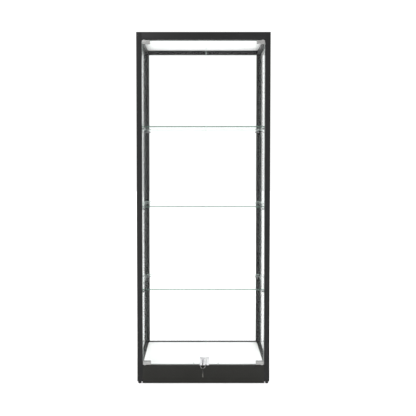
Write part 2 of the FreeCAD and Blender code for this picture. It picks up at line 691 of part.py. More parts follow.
bushes = []
bush_holes = {"upper": [], "lower": []}
for side, x_side in (("left", -1), ("right", 1)):
    edges = (f"-{glass_edge}", "gap_middle - gap_half")
    if x_side > 0:
        edges = ("gap_middle + gap_half", glass_edge)
    pane = box(f"{side}_door_pane", (edges[0], door_face, door_low), (edges[1], door_back, door_high))
    notches, screws, pads, pins = [], [], [], []
    for end in ("upper", "lower"):
        _, face, way = door_ends[end]
        xs = span(x_side, notch_near, f"{glass_edge} + past")
        zs = stretch(f"({face}) + {way} * {notch_set}", -way, "(door_notch_tall + past)")
        notch_low = (xs[0], f"{door_face} - past", zs[0])
        notches.append(box(f"{side}_{end}_notch", notch_low, (xs[1], f"{door_back} + past", zs[1])))
        clamp_screws, clamp_pads = make_clamp(side, end, x_side)
        screws += clamp_screws
        pads += clamp_pads
        pin, bush, hole = make_pivot(side, end, x_side)
        pins.append(pin)
        bushes.append(bush)
        bush_holes[end].append(hole)
    node(f"{side}_door_glass", cut(f"{side}_door_glass", pane, notches))
    node(f"{side}_hinge_screws", grouped(f"{side}_hinge_screws", screws))
    node(f"{side}_hinge_pads", grouped(f"{side}_hinge_pads", pads))
    node(f"{side}_pivot_pins", grouped(f"{side}_pivot_pins", pins))
node("pivot_bushes", grouped("pivot_bushes", bushes))
node("header_rail", cut("header_drilled", header, bush_holes["upper"]))
plinths["front_fascia"] = cut("fascia_bored", plinths["front_fascia"], bush_holes["lower"])
for name, rail in plinths.items():
    node(name, rail)

# Clear bumpers behind the doors' lower edges, which the doors close against.
bumpers = []
for x_side in (-1, 1):
    middle = f"gap_middle + {x_side} * bumper_set"
    low = (f"{middle} - bumper_wide / 2", f"{door_back} + bumper_gap", "fascia_high")
    high = (f"{middle} + bumper_wide / 2", f"-{sill_y}", "fascia_high + bumper_tall")
    bumpers.append(box(f"bumper_{x_side + 1}", low, high))
node("door_bumpers", grouped("door_bumpers", bumpers))

# ---------------------------------------------------------------- lock
front_of_lock = f"({door_face} - lock_front_wall)"
back_of_lock = f"({door_back} + lock_rear_wall)"
plug_front = f"({front_of_lock} - collar_out - plug_out)"
cam_last = f"({door_face} - wall)"
cam_first = f"({cam_last} - cam_thick - 2 * cam_gap)"
plug_back = f"({cam_first} + cam_gap)"


def door_shoe(name, left, right):
    """A block that sits over the door's lower edge, thick in front and thin behind."""
    whole = box(name + "_block", (left, front_of_lock, "lock_low"), (right, back_of_lock, "lock_high"))
    smooth = rounded(name + "_smooth", whole, "shoe_round")
    ends = (f"{left} - past", f"{right} + past")
    slot = box(name + "_slot", (ends[0], door_face, door_low), (ends[1], door_back, "lock_high + past"))
    above = box(name + "_above", (ends[0], door_back, "lock_high - shoe_rear_drop"),
                (ends[1], f"{back_of_lock} + past", "lock_high + past"))
    return smooth, [slot, above]


shoe, shoe_cuts = door_shoe("lock_case", "lock_left", "lock_right")
collar_at = ("lock_middle", f"{front_of_lock} - collar_out", "lock_level")
collar = rod("lock_collar", collar_at, "collar_radius", "collar_out + wall", "y")
bore_at = ("lock_middle", plug_front, "lock_level")
plug_bore = rod("plug_bore", bore_at, "plug_radius + plug_play", f"{plug_back} - {plug_front}", "y")
cam_at = ("lock_middle", cam_first, "lock_level")
cam_room = rod("cam_room", cam_at, "cam_sweep", f"{cam_last} - {cam_first}", "y")
bolt_first = f"({front_of_lock} + bolt_front)"
bolt_rest = "(lock_right - bolt_inset)"


def room_for_bolt(name, left, right, play):
    """The space that the bolt slides in, wider than it by the play on every side."""
    low = (left, f"{bolt_first} - {play}", f"bolt_level - bolt_tall / 2 - {play}")
    high = (right, f"{bolt_first} + bolt_deep + {play}", f"bolt_level + bolt_tall / 2 + {play}")
    return box(name, low, high)


bolt_room = room_for_bolt(
    "bolt_room", f"{bolt_rest} - bolt_wide - bolt_spare", "lock_right + past", "bolt_play"
)
lock_body = joined("lock_body", [shoe, collar])
node("lock_case", cut("lock_case", lock_body, [*shoe_cuts, plug_bore, cam_room, bolt_room]))

plug_rod = rod("plug_rod", bore_at, "plug_radius", f"{plug_back} - {plug_front}", "y")
keyway_end = f"({plug_front} + blade_long + key_gap)"
keyway = box(
    "keyway",
    ("lock_middle - keyway_wide / 2", f"{plug_front} - past", "lock_level - keyway_tall / 2"),
    ("lock_middle + keyway_wide / 2", keyway_end, "lock_level + keyway_tall / 2"),
)
node("lock_plug", cut("lock_plug", plug_rod, [keyway]))

# The cam turns with the plug and pushes the bolt across. At rest it points down and to the left.
cam = doc.addObject("PartDesign::Body", "lock_cam")
cam_sketch = new_sketch(cam, "cam_outline", "XZ_Plane")
cam_tip = "-(cam_sweep - cam_tip_gap)"
outline(cam_sketch, [
    ("-cam_half", "cam_half"), ("cam_half", "cam_half"), ("cam_half", "-cam_half"),
    ("cam_tip_half", cam_tip), ("-cam_tip_half", cam_tip), ("-cam_half", "-cam_half"),
])
pad(cam, cam_sketch, "cam_thick", middle=True)
cam.Placement = FreeCAD.Placement(FreeCAD.Vector(), FreeCAD.Rotation(FreeCAD.Vector(0, 1, 0), 45))
set_place(cam, ("lock_middle", f"{plug_back} + cam_thick / 2", "lock_level"))
node("lock_cam", cam)

bolt_low = (f"{bolt_rest} - bolt_wide", bolt_first, "bolt_level - bolt_tall / 2")
bolt_high = (bolt_rest, f"{bolt_first} + bolt_deep", "bolt_level + bolt_tall / 2")
node("lock_bolt", box("lock_bolt", bolt_low, bolt_high))

keeper, keeper_cuts = door_shoe("keeper", "keeper_left", "keeper_right")
keeper_room = room_for_bolt(
    "keeper_room", "keeper_left - past", "keeper_right - keeper_end_wall", "2 * bolt_play"
)
node("lock_keeper", cut("lock_keeper", keeper, [*keeper_cuts, keeper_room]))

# ---------------------------------------------------------------- keys and ring
bow_mid = "(bow_radius - key_hole_set)"
bow_end = f"({bow_mid} + bow_radius)"
shoulder_end = f"({bow_end} + shoulder_long)"
ring_top = "(lock_level - key_hole_radius + ring_wire + ring_gap)"
ring_mid = f"({ring_top} - ring_radius)"
ring_bottom = f"({ring_mid} - ring_radius)"
key_hole_y = f"({plug_front} - {shoulder_end} - key_gap)"
spare_hole_z = f"({ring_bottom} + ring_wire + ring_gap - key_hole_radius)"


def make_key(prefix, at, lean, blade):
    """A key with its hole at the origin of its own frame and its blade along +Y, then put in place."""
    head = doc.addObject("PartDesign::Body", prefix + "_head")
    bow = new_sketch(head, prefix + "_bow", "YZ_Plane")
    circle(bow, (bow_mid, 0), "bow_radius")
    pad(head, bow, "head_thick", middle=True)
    neck = new_sketch(head, prefix + "_neck", "YZ_Plane")
    rectangle(neck, (bow_mid, "-shoulder_tall / 2"), (shoulder_end, "shoulder_tall / 2"))
    pad(head, neck, "head_thick", middle=True)
    hole = new_sketch(head, prefix + "_hole", "YZ_Plane")
    circle(hole, (0, 0), "key_hole_radius")
    pocket(head, hole, "head_thick * 2", middle=True)
    shank = doc.addObject("PartDesign::Body", prefix + "_blade")
    side = new_sketch(shank, prefix + "_side", "YZ_Plane")
    tip = f"({shoulder_end} + {blade})"
    edge = "-blade_tall / 2"
    points = [(shoulder_end, edge)]
    for step in range(2):
        start = f"({shoulder_end} + cut_first + {step} * cut_step)"
        floor = f"{edge} + cut_deep + {step} * cut_deeper"
        points += [(start, edge), (f"{start} + cut_slope", floor)]
        points += [(f"{start} + cut_slope + cut_floor", floor)]
        points += [(f"{start} + 2 * cut_slope + cut_floor", edge)]
    points += [(f"{tip} - tip_slope", edge), (tip, "-tip_half"), (tip, "tip_half")]
    points += [(f"{tip} - tip_slope", "blade_tall / 2"), (shoulder_end, "blade_tall / 2")]
    outline(side, points)
    pad(shank, side, "blade_thick", middle=True)
    for part in (head, shank):
        part.Placement = FreeCAD.Placement(FreeCAD.Vector(), lean)
        set_place(part, at)
    node(f"{prefix}_head", head)
    node(f"{prefix}_blade", shank)


hanging = FreeCAD.Rotation(FreeCAD.Vector(1, 0, 0), -90)
make_key("key", ("lock_middle", key_hole_y, "lock_level"), FreeCAD.Rotation(), "blade_long")
make_key("spare_key", ("lock_middle", key_hole_y, spare_hole_z), hanging, "spare_blade_long")

ring = doc.addObject("Part::Torus", "key_ring")
ring.setExpression("Radius1", formula("ring_radius"))
ring.setExpression("Radius2", formula("ring_wire"))
ring.Placement = FreeCAD.Placement(FreeCAD.Vector(), turns["y"])
set_place(ring, ("lock_middle", key_hole_y, ring_mid))
node("key_ring", ring)

# ---------------------------------------------------------------- check and write
sheet.clear("D1")
doc.recompute()
for obj in doc.Objects:
    if {"Invalid", "Error"} & set(obj.State):
        raise RuntimeError(f"{obj.Label} failed: {obj.State}")
if len({obj.Label for obj in nodes}) != len(nodes) or len(nodes) > 60:
    raise RuntimeError("two nodes share a name, or there are too many")
for obj in nodes:
    if obj.Shape.isNull() or not obj.Shape.isValid() or not obj.Shape.Solids:
        raise RuntimeError(f"{obj.Label} has no valid solid")

os.makedirs("parts", exist_ok=True)
for obj in nodes:
    obj.Shape.exportStep(f"parts/{obj.Label}.step")
print(f"{len(nodes)} nodes written")
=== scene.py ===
import bmesh
import bpy
import json
import math
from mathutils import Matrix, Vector


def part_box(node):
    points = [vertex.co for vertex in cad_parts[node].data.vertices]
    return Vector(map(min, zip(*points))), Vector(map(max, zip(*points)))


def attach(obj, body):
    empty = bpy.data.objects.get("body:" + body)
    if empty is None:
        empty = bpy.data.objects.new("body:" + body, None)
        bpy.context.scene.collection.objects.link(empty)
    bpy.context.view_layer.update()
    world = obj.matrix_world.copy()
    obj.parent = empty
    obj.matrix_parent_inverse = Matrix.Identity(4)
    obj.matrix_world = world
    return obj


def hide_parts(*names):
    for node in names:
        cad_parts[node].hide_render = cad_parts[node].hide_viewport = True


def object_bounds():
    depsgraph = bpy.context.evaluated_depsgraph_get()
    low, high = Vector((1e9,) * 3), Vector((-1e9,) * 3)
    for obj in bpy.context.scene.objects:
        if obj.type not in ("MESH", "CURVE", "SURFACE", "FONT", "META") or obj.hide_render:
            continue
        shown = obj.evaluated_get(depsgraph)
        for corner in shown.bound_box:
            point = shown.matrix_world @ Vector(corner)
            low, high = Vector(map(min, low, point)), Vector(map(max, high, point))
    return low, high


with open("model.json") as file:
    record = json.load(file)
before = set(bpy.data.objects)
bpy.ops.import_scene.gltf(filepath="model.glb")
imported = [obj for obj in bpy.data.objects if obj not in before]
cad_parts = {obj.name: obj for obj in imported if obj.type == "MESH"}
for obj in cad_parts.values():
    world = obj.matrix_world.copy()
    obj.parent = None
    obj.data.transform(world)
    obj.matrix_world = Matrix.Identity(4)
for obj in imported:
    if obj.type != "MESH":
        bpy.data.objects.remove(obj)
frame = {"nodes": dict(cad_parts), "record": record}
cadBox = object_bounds()
cadNodes = frame["nodes"]
bodyOf = {node: body for body, group in frame["record"]["behaviour"]["bodies"].items() for node in group}
slotOf = {row["node"]: row["material_slot"] for row in frame["record"]["subparts"]}
mm = 0.001
print("frame loaded:", len(cadNodes), "nodes")


def linked(name, data):
    thing = bpy.data.objects.new(name, data)
    bpy.context.scene.collection.objects.link(thing)
    return thing


# camera, standing a little left of the middle at chest height
view = {
    "place": (-0.0272, -3.5048, 1.2816), "tilt": 1.937,
    "lens": 49.78, "shiftX": 0.0226, "shiftY": -0.0687,
}
camera = linked("camera", bpy.data.cameras.new("camera"))
camera.location = view["place"]
camera.rotation_euler = (math.radians(90 - view["tilt"]), 0, 0)
camera.data.lens = view["lens"]
camera.data.shift_x = view["shiftX"]
camera.data.shift_y = view["shiftY"]
bpy.context.scene.camera = camera

# pale floor, white surroundings and large soft lamps
studio = {"floorSize": 40, "floorTone": 0.93, "floorGlow": 0.45, "sky": 1.12, "lamps": {
    "keyLamp": ((-2.4, -3.6, 3.4), 2.4, 55),
    "fillLamp": ((3.0, -2.6, 2.0), 2.6, 22),
    "rearLamp": ((1.2, 3.2, 3.0), 2.4, 30),
}}
bpy.ops.mesh.primitive_plane_add(size=studio["floorSize"], location=(0, 0, cadBox[0].z))
floor = bpy.context.object
floor.name = "studioFloor"
bpy.context.scene.view_settings.view_transform = "Standard"
world = bpy.context.scene.world or bpy.data.worlds.new("studio")
bpy.context.scene.world = world
world.use_nodes = True
world.node_tree.nodes["Background"].inputs["Color"].default_value = (1, 1, 1, 1)
world.node_tree.nodes["Background"].inputs["Strength"].default_value = studio["sky"]
middle = (cadBox[0] + cadBox[1]) / 2
for name, (place, size, power) in studio["lamps"].items():
    lamp = linked(name, bpy.data.lights.new(name, "AREA"))
    lamp.data.size = size
    lamp.data.energy = power
    lamp.location = place
    lamp.rotation_euler = (middle - Vector(place)).to_track_quat("-Z", "Y").to_euler()
print("camera and studio ready")


# finishes
# a material with a shader, its tree and Object coordinates
def newFinish(name):
    finish = bpy.data.materials.new(name)
    finish.use_nodes = True
    tree = finish.node_tree
    place = tree.nodes.new("ShaderNodeTexCoord").outputs["Object"]
    return finish, tree, tree.nodes["Principled BSDF"], place


def stretched(tree, place, scale):
    mapping = tree.nodes.new("ShaderNodeMapping")
    mapping.inputs["Scale"].default_value = scale
    tree.links.new(place, mapping.inputs["Vector"])
    return mapping.outputs["Vector"]


def noise(tree, place, scale, detail=3.0, roughness=0.55):
    texture = tree.nodes.new("ShaderNodeTexNoise")
    texture.inputs["Scale"].default_value = scale
    texture.inputs["Detail"].default_value = detail
    texture.inputs["Roughness"].default_value = roughness
    tree.links.new(place, texture.inputs["Vector"])
    return texture.outputs["Fac"]


# maps a 0 to 1 pattern to a range of numbers
def between(tree, factor, low, high):
    ranged = tree.nodes.new("ShaderNodeMapRange")
    ranged.inputs["From Min"].default_value = 0.3
    ranged.inputs["From Max"].default_value = 0.7
    ranged.inputs["To Min"].default_value = low
    ranged.inputs["To Max"].default_value = high
    tree.links.new(factor, ranged.inputs["Value"])
    return ranged.outputs["Result"]


# mixes two colours by a pattern
def blended(tree, factor, first, second):
    mix = tree.nodes.new("ShaderNodeMix")
    mix.data_type = "RGBA"
    mix.inputs["A"].default_value = (*first, 1)
    mix.inputs["B"].default_value = (*second, 1)
    tree.links.new(between(tree, factor, 0, 1), mix.inputs["Factor"])
    return mix.outputs["Result"]


def bumped(tree, shader, height, strength, depth):
    bump = tree.nodes.new("ShaderNodeBump")
    bump.inputs["Strength"].default_value = strength
    bump.inputs["Distance"].default_value = depth
    tree.links.new(height, bump.inputs["Height"])
    tree.links.new(bump.outputs["Normal"], shader.inputs["Normal"])


# an opaque finish: two tones in patches, uneven gloss, and a fine grain that may run one way
def solidFinish(name, look):
    finish, tree, shader, place = newFinish(name)
    shader.inputs["Metallic"].default_value = look.get("metal", 0)
    shader.inputs["Specular IOR Level"].default_value = look.get("specular", 0.5)
    shader.inputs["Anisotropic"].default_value = look.get("brushed", 0)
    patches = noise(tree, place, look["patchScale"])
    grainPlace = stretched(tree, place, look.get("run", (1, 1, 1)))
    grain = noise(tree, grainPlace, look["grainScale"], 4.0)
    toneBy = grain if look.get("toneFromGrain") else patches
    tree.links.new(blended(tree, toneBy, look["tone"], look["secondTone"]), shader.inputs["Base Color"])
    tree.links.new(between(tree, grain, *look["roughness"]), shader.inputs["Roughness"])
    bumped(tree, shader, grain, look["grainStrength"], look["grainDepth"])
    return finish


finishLooks = {
    "frameCoat": {"tone": (0.0065, 0.0065, 0.0068), "secondTone": (0.0085, 0.0085, 0.0088), "specular": 0.2,
                  "patchScale": 9, "grainScale": 1400, "roughness": (0.36, 0.46), "grainStrength": 0.35,
                  "grainDepth": 0.00012},
    "plinthCoat": {"tone": (0.0088, 0.0088, 0.0070), "secondTone": (0.0105, 0.0105, 0.0088), "specular": 0.2,
                   "patchScale": 7, "grainScale": 1400, "roughness": (0.38, 0.48), "grainStrength": 0.35,
                   "grainDepth": 0.00012},
    "whiteLaminate": {"tone": (0.93, 0.93, 0.925), "secondTone": (0.95, 0.95, 0.945), "specular": 0.45,
                      "patchScale": 5, "grainScale": 900, "roughness": (0.34, 0.46), "grainStrength": 0.2,
                      "grainDepth": 0.00008},
    "satinNickel": {"tone": (0.25, 0.25, 0.246), "secondTone": (0.345, 0.345, 0.34),
                    "metal": 1, "brushed": 0.5, "patchScale": 60, "grainScale": 500,
                    "run": (0.12, 6, 6), "roughness": (0.24, 0.36),
                    "grainStrength": 0.25, "grainDepth": 0.00006, "toneFromGrain": True},
    "lockChrome": {"tone": (0.50, 0.50, 0.515), "secondTone": (0.60, 0.60, 0.61), "metal": 1,
                   "patchScale": 90, "grainScale": 220, "roughness": (0.06, 0.14), "grainStrength": 0.06,
                   "grainDepth": 0.00005},
    "platedSteel": {"tone": (0.42, 0.42, 0.43), "secondTone": (0.56, 0.56, 0.56), "metal": 1,
                    "patchScale": 180, "grainScale": 900, "roughness": (0.22, 0.36), "grainStrength": 0.15,
                    "grainDepth": 0.00005},
    "pegSteel": {"tone": (0.15, 0.15, 0.155), "secondTone": (0.23, 0.23, 0.235), "metal": 1,
                 "patchScale": 160, "grainScale": 800, "roughness": (0.16, 0.28), "grainStrength": 0.15,
                 "grainDepth": 0.00005},
    "keyNickel": {"tone": (0.19, 0.185, 0.17), "secondTone": (0.27, 0.265, 0.245), "metal": 1,
                  "patchScale": 140, "grainScale": 700, "run": (1, 0.2, 4), "roughness": (0.2, 0.34),
                  "grainStrength": 0.2, "grainDepth": 0.00005},
    "castZinc": {"tone": (0.34, 0.35, 0.36), "secondTone": (0.46, 0.47, 0.48), "metal": 1,
                 "patchScale": 120, "grainScale": 800, "roughness": (0.42, 0.6), "grainStrength": 0.4,
                 "grainDepth": 0.0001},
    "millAluminium": {"tone": (0.55, 0.55, 0.56), "secondTone": (0.68, 0.68, 0.69),
                      "metal": 1, "brushed": 0.4, "patchScale": 30, "grainScale": 260,
                      "run": (0.05, 5, 5), "roughness": (0.3, 0.44),
                      "grainStrength": 0.3, "grainDepth": 0.00008, "toneFromGrain": True},
    "blackMoulding": {"tone": (0.010, 0.010, 0.0105), "secondTone": (0.016, 0.016, 0.0165), "specular": 0.35,
                      "patchScale": 70, "grainScale": 1900, "roughness": (0.5, 0.66), "grainStrength": 0.5,
                      "grainDepth": 0.0001},
    "gasketRubber": {"tone": (0.012, 0.012, 0.012), "secondTone": (0.020, 0.020, 0.020), "specular": 0.3,
                     "patchScale": 40, "grainScale": 1200, "run": (1, 1, 0.05), "roughness": (0.62, 0.8),
                     "grainStrength": 0.3, "grainDepth": 0.0001},
    "whiteNylon": {"tone": (0.74, 0.74, 0.71), "secondTone": (0.80, 0.80, 0.78), "specular": 0.4,
                   "patchScale": 150, "grainScale": 1500, "roughness": (0.36, 0.5), "grainStrength": 0.2,
                   "grainDepth": 0.00005},
}


# a Math node on two sockets or numbers
def sums(tree, operation, first, second):
    node = tree.nodes.new("ShaderNodeMath")
    node.operation = operation
    for socket, value in zip(node.inputs, (first, second)):
        if isinstance(value, (int, float)):
            socket.default_value = value
        else:
            tree.links.new(value, socket)
    return node.outputs["Value"]


# see-through: a tinted sheet that reflects more at a slant, with faint smears in its gloss
def clearFinish(name, look):
    finish, tree, shader, place = newFinish(name)
    tree.nodes.remove(shader)
    through = tree.nodes.new("ShaderNodeBsdfTransparent")
    shine = tree.nodes.new("ShaderNodeBsdfGlossy")
    slant = tree.nodes.new("ShaderNodeLayerWeight")
    slant.inputs["Blend"].default_value = 0.5
    steep = sums(tree, "POWER", slant.outputs["Facing"], 5.0)
    mirrored = sums(tree, "ADD", sums(tree, "MULTIPLY", steep, look["glance"]), look["front"])
    shine.inputs["Color"].default_value = (*look["shine"], 1)
    smears = noise(tree, stretched(tree, place, (1, 1, 0.4)), look["smearScale"])
    tree.links.new(blended(tree, smears, look["tint"], look["secondTint"]), through.inputs["Color"])
    tree.links.new(between(tree, smears, *look["roughness"]), shine.inputs["Roughness"])
    surface = through.outputs["BSDF"]
    if look.get("body"):  # frosted or cloudy share
        cloudy = tree.nodes.new("ShaderNodeBsdfDiffuse")
        cloudy.inputs["Color"].default_value = (*look["bodyTone"], 1)
        share = tree.nodes.new("ShaderNodeMixShader")
        share.inputs["Fac"].default_value = look["body"]
        tree.links.new(surface, share.inputs[1])
        tree.links.new(cloudy.outputs["BSDF"], share.inputs[2])
        surface = share.outputs["Shader"]
    mix = tree.nodes.new("ShaderNodeMixShader")
    tree.links.new(mirrored, mix.inputs["Fac"])
    tree.links.new(surface, mix.inputs[1])
    tree.links.new(shine.outputs["BSDF"], mix.inputs[2])
    tree.links.new(mix.outputs["Shader"], tree.nodes["Material Output"].inputs["Surface"])
    return finish


clearLooks = {
    "paneGlass": {"front": 0.002, "glance": 0.8, "shine": (0.98, 0.99, 0.985), "tint": (0.990, 0.996, 0.993),
                  "secondTint": (0.995, 0.998, 0.997), "smearScale": 6, "roughness": (0.004, 0.02),
                  "body": 0.007, "bodyTone": (0.9, 0.92, 0.91)},
    "glassEdge": {"front": 0.03, "glance": 0.4, "shine": (0.8, 0.9, 0.86), "tint": (0.12, 0.22, 0.18),
                  "secondTint": (0.17, 0.27, 0.23), "smearScale": 60, "roughness": (0.05, 0.12),
                  "body": 0.5, "bodyTone": (0.16, 0.235, 0.20)},
    "groundArris": {"front": 0.04, "glance": 0.5, "shine": (0.95, 0.97, 0.96), "tint": (0.70, 0.80, 0.76),
                    "secondTint": (0.76, 0.84, 0.80), "smearScale": 90, "roughness": (0.1, 0.2),
                    "body": 0.8, "bodyTone": (0.56, 0.63, 0.60)},
    "clearSilicone": {"front": 0.03, "glance": 0.6, "shine": (0.9, 0.9, 0.9), "tint": (0.93, 0.95, 0.95),
                      "secondTint": (0.96, 0.97, 0.97), "smearScale": 300, "roughness": (0.12, 0.3),
                      "body": 0.1, "bodyTone": (0.9, 0.92, 0.92)},
}
finishes = {name: solidFinish(name, look) for name, look in finishLooks.items()}
finishes |= {name: clearFinish(name, look) for name, look in clearLooks.items()}

floorFinish, _, floorShader, _ = newFinish("studioPaper")
tone = studio["floorTone"]
floorShader.inputs["Base Color"].default_value = (tone, tone, tone, 1)
floorShader.inputs["Roughness"].default_value = 0.9
floorShader.inputs["Specular IOR Level"].default_value = 0.1
floorShader.inputs["Emission Color"].default_value = (1, 1, 1, 1)
floorShader.inputs["Emission Strength"].default_value = studio["floorGlow"]
floor.data.materials.append(floorFinish)

finishOfSlot = {
    "black_frame": "frameCoat", "black_plinth": "plinthCoat", "black_plastic": "blackMoulding",
    "zinc": "castZinc", "white_board": "whiteLaminate", "aluminium_angle": "millAluminium",
    "steel": "platedSteel", "clear_glass": "paneGlass", "gasket_rubber": "gasketRubber",
    "clear_plastic": "clearSilicone", "white_plastic": "whiteNylon", "satin_nickel": "satinNickel",
    "chrome": "lockChrome", "key_metal": "keyNickel",
}
for name, node in cadNodes.items():  # every carried-over node gets its finish
    node.data.materials.clear()
    node.data.materials.append(finishes[finishOfSlot[slotOf[name]]])
print("finishes made:", len(finishes))


# pieces that copy a CAD node and soften its edges
softening = {"weld": 0.01 * mm, "flatBelow": math.radians(0.5), "bevelAbove": math.radians(35),
             "sharpAbove": math.radians(32), "segments": 2}


# the piece stands for a CAD node and moves with its body
def settle(piece, node):
    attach(piece, bodyOf[node])
    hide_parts(node)
    return piece


def cleanCopy(node, name):
    mesh = cadNodes[node].data.copy()
    mesh.name = name
    shape = bmesh.new()
    shape.from_mesh(mesh)
    bmesh.ops.remove_doubles(shape, verts=shape.verts, dist=softening["weld"])
    bmesh.ops.dissolve_limit(shape, angle_limit=softening["flatBelow"], verts=shape.verts,
                             edges=shape.edges)
    shape.to_mesh(mesh)
    shape.free()
    return linked(name, mesh)


# puts the modifiers' result in the mesh
def baked(piece):
    graph = bpy.context.evaluated_depsgraph_get()
    mesh = bpy.data.meshes.new_from_object(piece.evaluated_get(graph))
    piece.modifiers.clear()
    piece.data = mesh
    return piece


# a copy of the node with its sharp edges rounded by edge
def softened(node, name, edge):
    piece = cleanCopy(node, name)
    bevel = piece.modifiers.new("softEdges", "BEVEL")
    bevel.width = edge
    bevel.segments = softening["segments"]
    bevel.limit_method = "ANGLE"
    bevel.angle_limit = softening["bevelAbove"]
    bevel.use_clamp_overlap = True
    baked(piece)
    piece.data.shade_smooth()
    piece.data.set_sharp_from_angle(angle=softening["sharpAbove"])
    return settle(piece, node)


softEdges = {
    "frame": 0.8 * mm, "plinth": 0.8 * mm, "board": 0.5 * mm, "caps": 0.6 * mm, "clamp": 0.8 * mm,
    "lock": 0.7 * mm, "key": 0.5 * mm, "blade": 0.15 * mm, "small": 0.3 * mm,
}
softNodes = {
    "frame": ["post_front_left", "post_front_right", "post_rear_left", "post_rear_right",
              "header_rail", "top_rail_rear", "top_rail_left", "top_rail_right"],
    "plinth": ["front_fascia", "rear_plinth", "left_plinth", "right_plinth"],
    "board": ["ceiling_panel", "deck_panel"],
    "caps": ["post_caps"],
    "clamp": ["left_door_upper_hinge", "left_door_lower_hinge", "right_door_upper_hinge",
              "right_door_lower_hinge"],
    "lock": ["lock_case", "lock_keeper"],
    "key": ["key_head", "spare_key_head"],
    "blade": ["key_blade", "spare_key_blade"],
    "small": ["lock_plug", "lock_bolt", "door_bumpers", "deck_bearers"],
}
for kind, group in softNodes.items():
    for node in group:
        softened(node, node + "_made", softEdges[kind])
print("softened pieces made")


# glass with ground edges
glassEdges = {"arris": 1.1 * mm, "shelfArris": 0.5 * mm}


# the node's sheet with a chamfered, ground edge all round; a shelf shows a polished green edge in front
def makePane(node, arris, polishedFront=False):
    piece = cleanCopy(node, node + "_made")
    bevel = piece.modifiers.new("arris", "BEVEL")
    bevel.width = arris
    bevel.segments = 1
    bevel.limit_method = "ANGLE"
    baked(piece)
    low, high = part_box(node)
    size = high - low
    thin = min(range(3), key=lambda axis: size[axis])
    piece.data.materials.clear()
    for finish in ("paneGlass", "groundArris", "glassEdge"):
        piece.data.materials.append(finishes[finish])
    for face in piece.data.polygons:
        if abs(face.normal[thin]) > 0.99:
            face.material_index = 0
        else:
            face.material_index = 2 if polishedFront and face.normal.y < -0.5 else 1
    return settle(piece, node)


for node in ("left_side_glass", "right_side_glass", "rear_glass", "left_door_glass", "right_door_glass"):
    makePane(node, glassEdges["arris"])
for node in ("top_shelf", "middle_shelf", "lower_shelf"):
    makePane(node, glassEdges["shelfArris"], polishedFront=True)
print("glass made")


# small hardware grown with Geometry Nodes
hardware = {"weld": 0.001 * mm, "sharpAbove": math.radians(35)}


# low and high corners of each separate solid in a node
def solidsOf(node):
    shape = bmesh.new()
    shape.from_mesh(cadNodes[node].data)
    bmesh.ops.remove_doubles(shape, verts=shape.verts, dist=hardware["weld"])
    unseen = set(shape.verts)
    found = []
    while unseen:
        front = [unseen.pop()]
        group = list(front)
        while front:
            vert = front.pop()
            for link in vert.link_edges:
                other = link.other_vert(vert)
                if other in unseen:
                    unseen.discard(other)
                    group.append(other)
                    front.append(other)
        low = Vector([min(vert.co[axis] for vert in group) for axis in range(3)])
        high = Vector([max(vert.co[axis] for vert in group) for axis in range(3)])
        found.append((low, high))
    shape.free()
    return found


# a tree with a geometry input, named number inputs and a finish
def newTree(name, numbers):
    tree = bpy.data.node_groups.new(name, "GeometryNodeTree")
    tree.interface.new_socket("Places", in_out="INPUT", socket_type="NodeSocketGeometry")
    for label, value in numbers.items():
        kind = "NodeSocketInt" if isinstance(value, int) else "NodeSocketFloat"
        tree.interface.new_socket(label, in_out="INPUT", socket_type=kind).default_value = value
    tree.interface.new_socket("Finish", in_out="INPUT", socket_type="NodeSocketMaterial")
    tree.interface.new_socket("Shape", in_out="OUTPUT", socket_type="NodeSocketGeometry")
    given = tree.nodes.new("NodeGroupInput").outputs
    return tree, given


# one node: wires come from other sockets, values are constants, settings are its options
def grow(tree, kind, wires=(), settings=(), values=()):
    node = tree.nodes.new(kind)
    for key, value in dict(settings).items():
        setattr(node, key, value)
    for key, value in dict(values).items():
        node.inputs[key].default_value = value
    for key, source in dict(wires).items():
        tree.links.new(source, node.inputs[key])
    return node


# moves a shape up by a socket's height
def lifted(tree, shape, height):
    offset = grow(tree, "ShaderNodeCombineXYZ", {"Z": height})
    moved = grow(tree, "GeometryNodeTransform", {"Geometry": shape, "Translation": offset.outputs["Vector"]})
    return moved.outputs["Geometry"]


def together(tree, shapes):
    join = tree.nodes.new("GeometryNodeJoinGeometry")
    for shape in reversed(shapes):
        tree.links.new(shape, join.inputs["Geometry"])
    return join.outputs["Geometry"]


# puts the shape on every place, turned to the place's facing, as a plain mesh with its finish
def planted(tree, given, shape):
    facing = grow(tree, "GeometryNodeInputNamedAttribute", settings={"data_type": "FLOAT_VECTOR"},
                  values={"Name": "facing"})
    turn = grow(tree, "FunctionNodeAlignRotationToVector", {"Vector": facing.outputs["Attribute"]},
                {"axis": "Z"})
    copies = grow(tree, "GeometryNodeInstanceOnPoints",
                  {"Points": given["Places"], "Instance": shape, "Rotation": turn.outputs["Rotation"]})
    plain = grow(tree, "GeometryNodeRealizeInstances", {"Geometry": copies.outputs["Instances"]})
    done = grow(tree, "GeometryNodeSetMaterial",
                {"Geometry": plain.outputs["Geometry"], "Material": given["Finish"]})
    out = tree.nodes.new("NodeGroupOutput")
    tree.links.new(done.outputs["Geometry"], out.inputs["Shape"])


